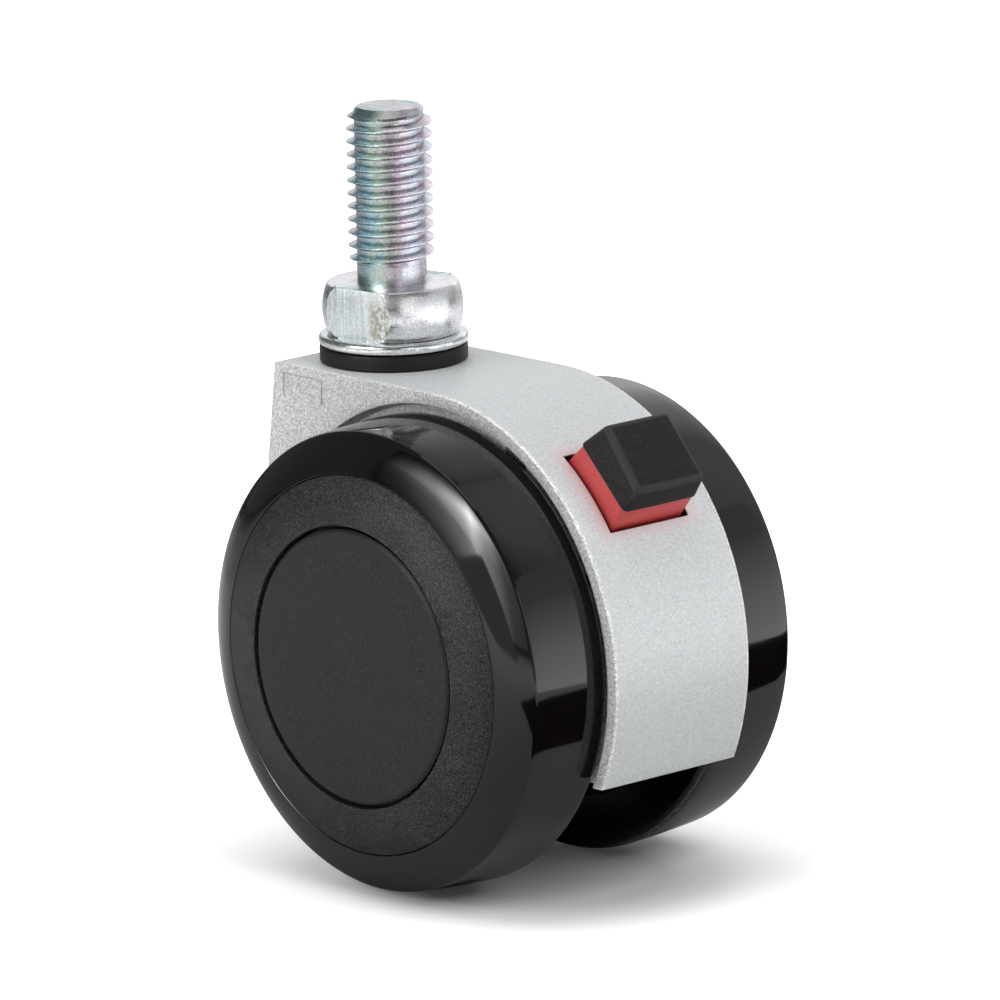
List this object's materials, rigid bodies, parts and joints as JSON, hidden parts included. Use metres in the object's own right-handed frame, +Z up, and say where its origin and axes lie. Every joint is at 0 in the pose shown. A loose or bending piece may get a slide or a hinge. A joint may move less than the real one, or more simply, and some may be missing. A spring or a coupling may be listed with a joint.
{
  "type": "twin wheel castor",
  "caption": "Swivel castor with a threaded stem, a die-cast hood between twin wheels with polished treads, and a foot brake lever.",
  "frame": {"origin": "centre of the top face of the stem's collar, where the castor seats, on the swivel axis", "axes": "+Z up the stem, +X back from the stem to the axle, Y along the axle"},
  "size_m": [0.059, 0.0472, 0.0859],
  "materials": {
    "zinc_plate": "zinc plated, faint blue and pink iridescence",
    "spring_steel": "dark spring steel",
    "silver_casting": "zinc die casting with satin silver fine-grain paint",
    "black_plastic": "matte black",
    "bearing_plastic": "natural self-lubricating plastic",
    "red_plastic": "satin red",
    "cap_rubber": "matte black rubber",
    "polished_tread": "polished black polyurethane",
    "wheel_plastic": "charcoal with a fine moulded grain",
    "cap_plastic": "smooth satin charcoal"
  },
  "bodies": {
    "stem": {"threaded_stem": "zinc_plate", "stem_washer": "zinc_plate", "stem_clip": "spring_steel"},
    "hood": {"hood": "silver_casting", "swivel_ring": "black_plastic", "swivel_bush": "bearing_plastic", "axle": "zinc_plate", "axle_nut_left": "spring_steel", "axle_nut_right": "spring_steel", "lever_pin": "zinc_plate", "detent_spring": "spring_steel"},
    "lever": {"brake_lever": "red_plastic", "lever_cap": "cap_rubber", "brake_bar": "zinc_plate", "brake_shoe_left": "cap_rubber", "brake_shoe_right": "cap_rubber"},
    "wheel_left": {"tread_left": "polished_tread", "wheel_core_left": "wheel_plastic", "hub_cap_left": "cap_plastic", "wheel_bush_left": "bearing_plastic"},
    "wheel_right": {"tread_right": "polished_tread", "wheel_core_right": "wheel_plastic", "hub_cap_right": "cap_plastic", "wheel_bush_right": "bearing_plastic"}
  },
  "joints": [
    {"name": "swivel", "type": "hinge", "parent": "stem", "child": "hood", "pos_m": [0, 0, -0.02], "axis": [0, 0, 1], "continuous": true},
    {"name": "wheel_left_spin", "type": "hinge", "parent": "hood", "child": "wheel_left", "pos_m": [0.017, 0, -0.0386], "axis": [0, 1, 0], "continuous": true},
    {"name": "wheel_right_spin", "type": "hinge", "parent": "hood", "child": "wheel_right", "pos_m": [0.017, 0, -0.0386], "axis": [0, 1, 0], "continuous": true},
    {"name": "brake", "type": "hinge", "parent": "hood", "child": "lever", "pos_m": [0.03932, 0, -0.02817], "axis": [0, -1, 0], "range_deg": [0, 5]}
  ]
}
